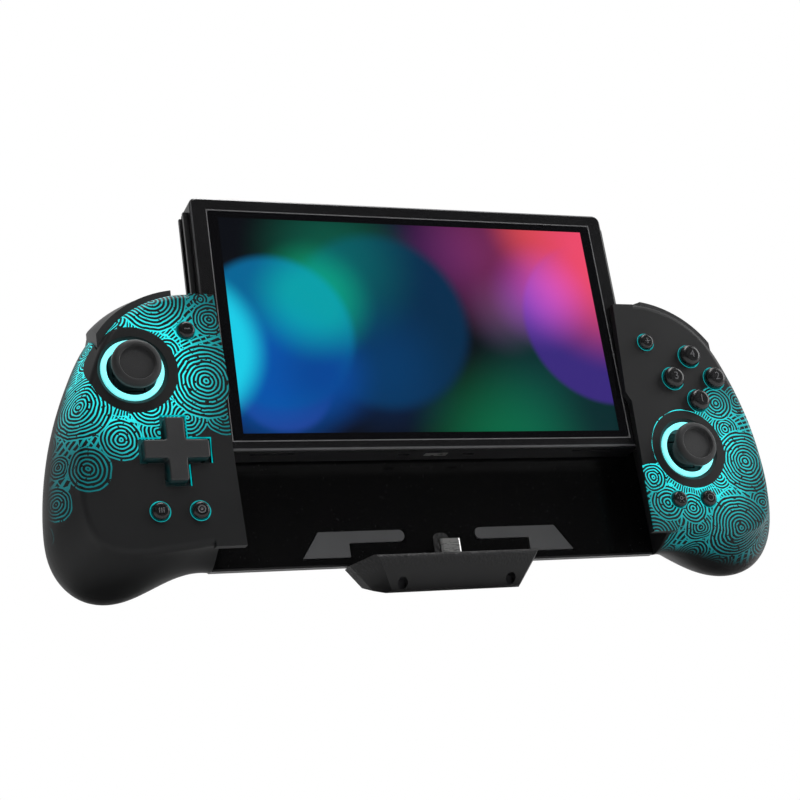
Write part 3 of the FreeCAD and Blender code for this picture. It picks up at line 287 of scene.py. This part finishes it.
# Discs as (right of the screen's centre, above it, radius, edge softness, colour, how they add).
SCREEN_DISCS = [
    (62, -34, 30, 22, (0.0, 0.022, 0.022), "ADD"),
    (28, -50, 24, 20, (0.0, 0.12, 0.045), "ADD"),
    (45, -14, 18, 16, (0.0, 0.013, 0.011), "ADD"),
    (32, 34, 22, 20, (0.15, 0.016, 0.07), "ADD"),
    (12, 32, 18, 16, (0.012, 0.004, 0.05), "ADD"),
    (36, 6, 11, 10, (0.06, 0.03, 0.08), "ADD"),
    (58, 48, 15, 13, (0.5, 0.05, 0.0), "ADD"),
    (-17, 2, 36, 3.5, (0.0, 0.025, 0.072), "MIX"),
    (-20, -18, 19, 17, (0.0, 0.014, 0.06), "ADD"),
    (-33, 27, 22, 18, (0.0, 0.085, 0.05), "ADD"),
    (80, 3, 35.5, 1.5, (0.041, 0.022, 0.20), "MIX"),
    (90, 36, 36, 22, (0.86, 0.07, 0.15), "MIX"),
    (54, 14, 14, 12, (0.20, 0.04, 0.33), "ADD"),
    (-60, -24, 19, 2, (0.022, 0.034, 0.25), "MIX"),
    (-60, -3, 30.5, 2.5, (0.0, 0.13, 0.30), "MIX"),
    (-64, -20, 22, 16, (0.0, 0.085, 0.40), "MIX"),
    (-44, -20, 14, 12, (0.0, 0.06, 0.30), "MIX"),
    (-44, 10, 18, 10, (0.0, 0.22, 0.10), "ADD"),
    (-98, -9, 30, 6, (0.01, 0.62, 0.82), "MIX"),
]


def lit_screen():
    finish = Finish("screen_glass_lit", Base_Color=(0.004, 0.004, 0.005), Specular_IOR_Level=0.3)
    x, y, z = [axis / MM for axis in finish.axes(finish.place)]
    u = x - SCREEN_X
    v = z - SCREEN_Z
    spot = finish.joined(u, 0.0, v)
    picture = finish.blend(0.0, (0.001, 0.002, 0.004), (0, 0, 0))
    for disc_x, disc_z, radius, soft, colour, mode in SCREEN_DISCS:
        reach = finish.reach(spot, (disc_x, 0, disc_z))
        mask = 1 - finish.soft_step(reach, float(radius - soft), float(radius + soft))
        picture = finish.blend(mask, picture, colour, mode)
    shown = (u.size() < SCREEN_HALF[0]) * (v.size() < SCREEN_HALF[1])
    front = y < (GLASS_LOW.y + 0.0004) / MM
    smear = finish.noise(0.03, 4.0)
    grid = finish.noise(0.0005, 1.0)
    picture = finish.blend(0.06, picture, finish.blend(grid, (0, 0, 0), picture))
    finish.set(Emission_Color=finish.blend(shown * front, (0, 0, 0), picture), Emission_Strength=1.0)
    finish.set(Roughness=0.05 + smear * 0.05)
    return finish


# ---- other finishes ----

def brushed(name, colour, rough, along):
    """Metal with fine brush lines; along lists how much finer the lines are across each axis."""
    finish = Finish(name, Metallic=1.0)
    lines = finish.noise(0.004, 3.0, finish.vector("MULTIPLY", finish.place, along))
    cloud = finish.noise(0.006, 2.0)
    bright = tuple(min(1.0, c * 1.15) for c in colour)
    finish.set(Base_Color=finish.blend(lines, colour, bright))
    finish.set(Roughness=rough + (lines - 0.5) * 0.2 + (cloud - 0.5) * 0.08)
    finish.bump(lines, 0.00002)
    return finish


def polished_plate():
    finish = Finish("gloss_plate", Specular_IOR_Level=0.35)
    smear = finish.noise(0.025, 4.0)
    dust = finish.noise(0.0009, 2.0) > 0.72
    finish.set(Base_Color=finish.blend(dust * 0.2, (0.0022, 0.0022, 0.0024), (0.012, 0.012, 0.013)))
    finish.set(Roughness=0.13 + smear * 0.12 + dust * 0.1)
    finish.bump(finish.noise(0.012, 1.0), 0.00001)
    return finish


def dock_plastic():
    """Leather-like grain on the bevel under the ledge, fine spark texture on the rest."""
    finish = Finish("dock_plastic", Specular_IOR_Level=0.45)
    x, y, z = finish.axes(finish.place)
    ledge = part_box("chin_cover")[0].z + 0.0098
    hide = finish.soft_step(z, ledge - 0.0042, ledge - 0.001)
    shake = finish.scaled(finish.noise(0.002, 2.0, output="Color"), 0.0012)
    grain = finish.cells(0.0011, at=finish.vector("ADD", finish.place, shake))
    speck = finish.noise(0.0004, 1.0)
    cloud = finish.noise(0.012, 3.0)
    finish.set(Base_Color=finish.blend(cloud, (0.007, 0.007, 0.0076), (0.012, 0.012, 0.0128)))
    finish.set(Roughness=0.42 + (cloud - 0.5) * 0.12 + grain * hide * 0.15)
    finish.bump(grain * hide * 0.8 + speck * 0.12, 0.00022)
    return finish


def outside(finish, node):
    """How far a spot lies outside a node's outline, seen from the front, in millimetres."""
    low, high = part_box(node)
    x, y, z = finish.axes(finish.place)
    across = ((x - (low.x + high.x) / 2).size() - (high.x - low.x) / 2) / MM
    upright = ((z - (low.z + high.z) / 2).size() - (high.z - low.z) / 2) / MM
    return finish.math("MAXIMUM", across, upright)


def tablet_frame():
    """Satin black frame with painted highlights: a thin light line round the glass and another on the frame's
    outer edge.
    """
    finish = moulded("tablet_frame", (0.006, 0.006, 0.0067), (0.008, 0.008, 0.0088), 0.24, 0.0004, 0.000004)
    outer = outside(finish, "tablet_front_frame")
    inner = outside(finish, "tablet_glass")
    # Painted highlights: thin light lines on the frame's outer edge and round the glass, standing in for
    # light caught on the edge bevels.
    outer_painted_highlight = (outer > -0.8) * (outer < -0.25)
    glass_edge_painted_highlight = (inner > 0.0) * (inner < 0.5)
    # Random tone of the frame, which also makes the painted highlight lines patchy.
    patchy_tone_and_highlight = finish.noise(0.006, 3.0)
    dark = finish.blend(patchy_tone_and_highlight, (0.006, 0.006, 0.0067), (0.008, 0.008, 0.0088))
    painted_edge_highlights = finish.blend(outer_painted_highlight * (0.5 + patchy_tone_and_highlight * 0.5), dark, (0.11, 0.11, 0.115))
    finish.set(Base_Color=finish.blend(glass_edge_painted_highlight * (0.4 + patchy_tone_and_highlight * 0.6), painted_edge_highlights, (0.22, 0.22, 0.225)))
    return finish


def stick_rubber():
    """Soft-touch rubber with a fine speckled grain."""
    finish = Finish("stick_rubber", Specular_IOR_Level=0.3, Sheen_Weight=0.15, Sheen_Roughness=0.5)
    speck = finish.noise(0.00028, 2.0)
    cloud = finish.noise(0.006, 3.0)
    finish.set(Base_Color=finish.blend(cloud, (0.017, 0.0172, 0.018), (0.026, 0.0262, 0.027)))
    finish.set(Roughness=0.55 + (cloud - 0.5) * 0.16)
    finish.bump(speck, 0.00005)
    return finish


def light_guide():
    """Frosted ring lit from behind, a little brighter in random patches."""
    finish = Finish("light_guide", Roughness=0.45)
    lamps = finish.noise(0.006, 1.0)
    frost = finish.noise(0.0004, 2.0)
    finish.set(Base_Color=finish.blend(frost, (0.25, 0.8, 0.82), (0.32, 0.9, 0.92)))
    glow = finish.blend(lamps, (0.10, 0.74, 0.78), (0.30, 1.0, 1.0))
    finish.set(Emission_Color=glow, Emission_Strength=0.95)
    finish.bump(frost, 0.00002)
    return finish


def gap_light():
    """Dimmer light that leaks out of the gaps round the buttons."""
    finish = Finish("gap_light", Roughness=0.4)
    patchy = finish.noise(0.004, 2.0)
    finish.set(Base_Color=finish.blend(patchy, (0.0, 0.10, 0.11), (0.01, 0.2, 0.21)))
    glow = finish.blend(patchy, (0.0, 0.10, 0.11), (0.0, 0.75, 0.78))
    finish.set(Emission_Color=glow, Emission_Strength=0.75)
    return finish


def circuit_board():
    finish = Finish("circuit_board", Specular_IOR_Level=0.4)
    x, y, z = [axis / MM for axis in finish.axes(finish.place)]
    tracks = ((x / 1.6).fraction() < 0.3) * (finish.noise(0.005, 0.0) > 0.5)
    tracks = finish.math("MAXIMUM", tracks, ((z / 2.1).fraction() < 0.25) * (finish.noise(0.007, 0.0) > 0.52))
    pads = finish.cells(0.0042) < 0.16
    colour = finish.blend(tracks, (0.004, 0.07, 0.03), (0.01, 0.13, 0.055))
    finish.set(Base_Color=finish.blend(pads, colour, (0.75, 0.55, 0.2)), Metallic=pads * 0.9)
    finish.set(Roughness=0.42 - tracks * 0.1)
    finish.bump(tracks + pads, 0.00004)
    return finish


def foil(name, dark, light, rough, metallic):
    """Thin wrapped film with soft creases."""
    finish = Finish(name, Metallic=metallic)
    crease = finish.noise(0.008, 5.0)
    finish.set(Base_Color=finish.blend(crease, dark, light), Roughness=rough + (crease - 0.5) * 0.2)
    finish.bump(crease, 0.0002)
    return finish


FINISHES = {
    "gloss_plate": polished_plate(),
    "bridge_plastic": moulded("bridge_plastic", (0.018, 0.018, 0.019), (0.026, 0.026, 0.028), 0.5),
    "dock_plastic": dock_plastic(),
    "pad_grey": moulded("pad_grey", (0.07, 0.071, 0.073), (0.09, 0.091, 0.094), 0.42),
    "plug_metal": brushed("plug_metal", (0.62, 0.62, 0.61), 0.3, (1, 1, 12)),
    "insulator": moulded("insulator", (0.006, 0.006, 0.006), (0.011, 0.011, 0.011), 0.45),
    "screw_black": brushed("screw_black", (0.07, 0.07, 0.075), 0.34, (6, 1, 6)),
    "light_guide": light_guide(),
    "stick_module": moulded("stick_module", (0.008, 0.008, 0.009), (0.013, 0.013, 0.014), 0.36),
    "stick_rubber": stick_rubber(),
    "cross_plastic": moulded("cross_plastic", (0.026, 0.0262, 0.027), (0.034, 0.0343, 0.0355), 0.44),
    "button_gloss": moulded("button_gloss", (0.006, 0.006, 0.0065), (0.010, 0.010, 0.0108), 0.27,
                            grain=0.003, depth=0.000006, shine=0.5, spread=0.03),
    "trigger_plastic": moulded("trigger_plastic", (0.012, 0.012, 0.013), (0.02, 0.02, 0.0215), 0.4),
    "circuit_board": circuit_board(),
    "membrane_rubber": moulded("membrane_rubber", (0.2, 0.2, 0.21), (0.27, 0.27, 0.28), 0.6),
    "ribbon": foil("ribbon", (0.35, 0.2, 0.04), (0.5, 0.3, 0.08), 0.35, 0.0),
    "motor_metal": brushed("motor_metal", (0.5, 0.5, 0.51), 0.32, (12, 1, 1)),
    "pin_steel": brushed("pin_steel", (0.55, 0.55, 0.56), 0.25, (1, 8, 1)),
    "tablet_shell": moulded("tablet_shell", (0.006, 0.006, 0.0066), (0.009, 0.009, 0.0098), 0.34),
    "tablet_frame": tablet_frame(),
    "screen_glass": lit_screen(),
    "display": foil("display_back", (0.30, 0.31, 0.32), (0.38, 0.38, 0.4), 0.35, 0.8),
    "battery_foil": foil("battery_foil", (0.05, 0.05, 0.052), (0.09, 0.09, 0.094), 0.3, 0.3),
    "rail_black": moulded("rail_black", (0.008, 0.008, 0.009), (0.013, 0.013, 0.014), 0.34),
    "jack_plastic": moulded("jack_plastic", (0.008, 0.008, 0.008), (0.013, 0.013, 0.013), 0.4),
}
GRIPS = {
    "left": grip_plastic("left_grip_plastic", LEFT_RINGS, LEFT_GROUND, (-116.7, 82.0), (-113.0, 62.0)),
    "right": grip_plastic("right_grip_plastic", RIGHT_RINGS, RIGHT_GROUND, (105.3, 49.4), (113.0, 58.0)),
}
GAP_LIGHT = gap_light()
for part in frame["record"]["subparts"]:
    slot = part["material_slot"]
    finish = GRIPS[part["node"].split("_")[0]] if slot == "grip_shell" else FINISHES[slot]
    node = frame["nodes"][part["node"]]
    for material_slot in node.material_slots:
        material_slot.material = finish.material


# ---- small pieces ----

def finished(name, mesh, body, finish, smooth=True):
    """Turns a bmesh into a piece that rides on a body."""
    bmesh.ops.recalc_face_normals(mesh, faces=mesh.faces)
    data = bpy.data.meshes.new(name)
    mesh.to_mesh(data)
    mesh.free()
    piece = bpy.data.objects.new(name, data)
    bpy.context.scene.collection.objects.link(piece)
    data.materials.append(finish.material)
    for face in data.polygons:
        face.use_smooth = smooth
    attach(piece, body)
    return piece


def turned_ring(mesh, centre, profile, steps=64):
    """Spins a closed profile of (radius, y) corners about a line along Y through centre."""
    corners = [mesh.verts.new((centre[0] + radius, y, centre[1])) for radius, y in profile]
    face = mesh.faces.new(corners)
    middle = (centre[0], 0, centre[1])
    edges = list(face.edges)
    bmesh.ops.delete(mesh, geom=[face], context="FACES_ONLY")
    bmesh.ops.spin(mesh, geom=corners + edges, cent=middle, axis=(0, 1, 0), dvec=(0, 0, 0),
                   angle=2 * math.pi, steps=steps, use_merge=True, use_duplicate=False)
    bmesh.ops.remove_doubles(mesh, verts=mesh.verts, dist=1e-7)


def square_ring(inner, outer, front, back):
    return [(inner, front), (outer, front), (outer, back), (inner, back)]


def centre_of(node):
    low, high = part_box(node)
    return (low.x + high.x) / 2, (low.z + high.z) / 2


BUTTONS = ["top_face_button", "right_face_button", "bottom_face_button", "left_face_button", "minus_button",
           "turbo_button", "capture_button", "plus_button", "light_button", "home_button"]
GAP = 0.55 * MM
FACE_KEY_RADIUS = 4.5 * MM
SMALL_KEY_RADIUS = 3.25 * MM
for button in BUTTONS:
    radius = FACE_KEY_RADIUS if "face" in button else SMALL_KEY_RADIUS
    ring = bmesh.new()
    turned_ring(ring, centre_of(button), square_ring(radius + 0.3 * MM, radius + GAP - 0.01 * MM,
                                                     FACE_Y + 0.05 * MM, FACE_Y + 1.9 * MM))
    finished(button.replace("button", "gap_light"), ring, "controller", GAP_LIGHT)


def cross_band(name, centre, reach, arm, wall, front, back):
    """A thin plus-shaped wall, for the lit edge of the direction cross's well."""
    mesh = bmesh.new()
    bmesh.ops.create_grid(mesh, x_segments=3, y_segments=3, size=1.0)
    corners = [f for f in mesh.faces if min(abs(c) for c in f.calc_center_median().xy) > 0.5]
    bmesh.ops.delete(mesh, geom=corners, context="FACES")
    for vert in mesh.verts:
        u, v = (math.copysign(reach if abs(c) > 0.5 else arm, c) for c in vert.co.xy)
        vert.co = (centre[0] + u, front, centre[1] + v)
    inner = list(mesh.faces)
    bmesh.ops.inset_region(mesh, faces=inner, thickness=wall, use_boundary=True, use_even_offset=True)
    bmesh.ops.delete(mesh, geom=inner, context="FACES")
    raised = bmesh.ops.extrude_face_region(mesh, geom=list(mesh.faces))
    moved = [g for g in raised["geom"] if isinstance(g, bmesh.types.BMVert)]
    bmesh.ops.translate(mesh, verts=moved, vec=(0, back - front, 0))
    return finished(name, mesh, "controller", GAP_LIGHT, smooth=False)


CROSS_LOW, CROSS_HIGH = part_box("direction_cross")
CROSS_CENTRE = centre_of("direction_cross")
WELL_GAP = 1.47 * MM
WELL_REACH = (CROSS_HIGH.x - CROSS_LOW.x) / 2 + WELL_GAP
CROSS_ARM = 3.4 * MM
WELL_ARM = CROSS_ARM + WELL_GAP
BAND_WIDTH = 0.85 * MM
BAND_FRONT = FACE_Y + 0.9 * MM
BAND_BACK = FACE_Y + 1.5 * MM
cross_band("cross_gap_light", CROSS_CENTRE, WELL_REACH, WELL_ARM, BAND_WIDTH, BAND_FRONT, BAND_BACK)


# ---- raised marks on the buttons ----

MARK = Finish("mark_grey", Specular_IOR_Level=0.5)
mark_cloud = MARK.noise(0.002, 2.0)
MARK.set(Base_Color=MARK.blend(mark_cloud, (0.10, 0.10, 0.105), (0.15, 0.15, 0.156)))
MARK.set(Roughness=0.2 + mark_cloud * 0.12)
MARK_HEIGHT = 0.12 * MM


def numeral(name, text, button):
    """A raised numeral on a button's front."""
    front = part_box(button)[0].y
    x, z = centre_of(button)
    curve = bpy.data.curves.new(name, "FONT")
    curve.body = text
    curve.size = 4.6 * MM
    curve.align_x = "CENTER"
    curve.align_y = "CENTER"
    curve.extrude = MARK_HEIGHT
    source = bpy.data.objects.new(name + "_text", curve)
    mesh = bmesh.new()
    mesh.from_mesh(source.to_mesh())
    source.to_mesh_clear()
    bpy.data.objects.remove(source)
    turn = Matrix.Rotation(math.pi / 2, 4, "X")
    shift = Matrix.Translation((x, front + MARK_HEIGHT * 0.2, z))
    bmesh.ops.remove_doubles(mesh, verts=mesh.verts, dist=1e-7)
    bmesh.ops.transform(mesh, matrix=shift @ turn, verts=mesh.verts)
    return finished(name, mesh, button, MARK, smooth=False)


def bar(mesh, centre, front, wide, high, turn=0.0):
    """A small raised bar with softened edges."""
    made = bmesh.ops.create_cube(mesh, size=1.0)["verts"]
    spot = Matrix.Translation((centre[0], front, centre[1]))
    sizes = Matrix.Diagonal((wide, MARK_HEIGHT * 2, high, 1))
    bmesh.ops.transform(mesh, matrix=spot @ Matrix.Rotation(turn, 4, "Y") @ sizes, verts=made)
    edges = list({edge for vert in made for edge in vert.link_edges})
    bmesh.ops.bevel(mesh, geom=edges, offset=0.05 * MM, segments=2, profile=0.5, affect="EDGES", material=-1)


for text, button in (("1", "bottom_face_button"), ("2", "right_face_button"), ("3", "left_face_button"),
                     ("4", "top_face_button")):
    numeral(button.replace("button", "mark"), text, button)


def small_mark(button, bars=(), rings=()):
    """Bars are (x, z, width, height, turn), rings (inner, outer), in millimetres about the centre."""
    x, z = centre_of(button)
    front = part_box(button)[0].y
    mesh = bmesh.new()
    for u, v, wide, high, turn in bars:
        bar(mesh, (x + u * MM, z + v * MM), front, wide * MM, high * MM, turn)
    for inner, outer in rings:
        profile = square_ring(inner * MM, outer * MM, front - MARK_HEIGHT, front + MARK_HEIGHT)
        turned_ring(mesh, (x, z), profile, 40)
    finished(button.replace("button", "mark"), mesh, button, MARK, smooth=False)


RAYS = [(1.5 * math.cos(a), 1.5 * math.sin(a), 0.55, 0.22, -a) for a in (i * math.pi / 3 for i in range(6))]
small_mark("minus_button", bars=[(0, 0, 2.2, 0.42, 0)])
small_mark("plus_button", bars=[(0, 0, 2.2, 0.42, 0), (0, 0.66, 0.42, 0.9, 0), (0, -0.66, 0.42, 0.9, 0)])
small_mark("turbo_button", bars=[(-0.8, 0, 0.4, 1.8, 0), (0, 0, 0.4, 1.8, 0), (0.8, 0, 0.4, 1.8, 0)])
small_mark("capture_button", rings=[(1.0, 1.5), (0.001, 0.5)])
small_mark("light_button", bars=RAYS, rings=[(0.4, 0.8)])
small_mark("home_button", rings=[(1.1, 1.4)])


# ---- studio ----

def pale_floor():
    mesh = bmesh.new()
    bmesh.ops.create_grid(mesh, x_segments=8, y_segments=8, size=3.0)
    bmesh.ops.translate(mesh, verts=mesh.verts, vec=(0, 0, -0.8 * MM))
    data = bpy.data.meshes.new("floor")
    mesh.to_mesh(data)
    mesh.free()
    floor = bpy.data.objects.new("floor", data)
    bpy.context.scene.collection.objects.link(floor)
    finish = Finish("floor_paper", Roughness=0.9)
    speck = finish.noise(0.02, 2.0)
    finish.set(Base_Color=finish.blend(speck, (0.80, 0.80, 0.80), (0.84, 0.84, 0.84)))
    seen = finish.get(finish.node("LightPath"))
    finish.set(Emission_Color=finish.blend(seen, (0.0, 0.0, 0.0), (0.45, 0.45, 0.45)), Emission_Strength=1.0)
    tree = finish.tree
    output = tree.nodes["Material Output"]
    clear = finish.get(finish.node("BsdfTransparent"))
    behind = finish.get(finish.node("NewGeometry"), "Backfacing")
    paper = Value(finish, finish.surface.outputs[0])
    one_sided = finish.node("MixShader", None, {0: behind, 1: paper, 2: clear})
    tree.links.new(one_sided.outputs[0], output.inputs["Surface"])
    data.materials.append(finish.material)


def soft_light(name, place, target, wide, high, power):
    data = bpy.data.lights.new(name, "AREA")
    data.shape = "RECTANGLE"
    data.size = wide
    data.size_y = high
    data.energy = power
    lamp = bpy.data.objects.new(name, data)
    bpy.context.scene.collection.objects.link(lamp)
    lamp.location = place
    lamp.rotation_euler = (Vector(target) - Vector(place)).to_track_quat("-Z", "Y").to_euler()


def studio_air():
    """White behind the object and a darker room in front of it, as in a photographer's studio."""
    world = bpy.data.worlds.new("studio")
    bpy.context.scene.world = world
    world.use_nodes = True
    nodes = world.node_tree.nodes
    links = world.node_tree.links
    background = nodes["Background"]
    where = nodes.new("ShaderNodeTexCoord")
    parts = nodes.new("ShaderNodeSeparateXYZ")
    links.new(where.outputs["Generated"], parts.inputs[0])
    room = nodes.new("ShaderNodeMapRange")
    links.new(parts.outputs["Y"], room.inputs["Value"])
    for name, value in (("From Min", -0.5), ("From Max", 0.6), ("To Min", 0.05), ("To Max", 0.6)):
        room.inputs[name].default_value = value
    seen = nodes.new("ShaderNodeLightPath")
    either = nodes.new("ShaderNodeMath")
    either.operation = "MAXIMUM"
    links.new(seen.outputs["Is Camera Ray"], either.inputs[0])
    links.new(room.outputs[0], either.inputs[1])
    background.inputs["Color"].default_value = (1, 1, 1, 1)
    links.new(either.outputs[0], background.inputs["Strength"])


def camera():
    data = bpy.data.cameras.new("camera")
    data.sensor_width = 36.0
    data.lens = 76.91
    data.clip_start = 0.01
    data.clip_end = 50.0
    eye = bpy.data.objects.new("camera", data)
    bpy.context.scene.collection.objects.link(eye)
    right = Vector((0.92232, -0.35912, -0.14269))
    up = Vector((0.00045, -0.36824, 0.92973))
    ahead = Vector((0.38643, 0.85757, 0.33947))
    turn = Matrix((right, up, -ahead)).transposed().to_4x4()
    eye.matrix_world = Matrix.Translation((-0.26343, -0.56960, -0.14704)) @ turn
    bpy.context.scene.camera = eye


pale_floor()
studio_air()
soft_light("key_light", (0.1, -0.7, 1.35), (0, 0, 0.07), 0.6, 0.5, 9)
soft_light("top_light", (0.25, 0.15, 1.2), (0, 0, 0.07), 0.9, 0.5, 7)
soft_light("side_light", (1.1, -0.45, 0.55), (0, 0, 0.07), 0.5, 0.8, 7)
bpy.context.scene.view_settings.view_transform = "Standard"
camera()
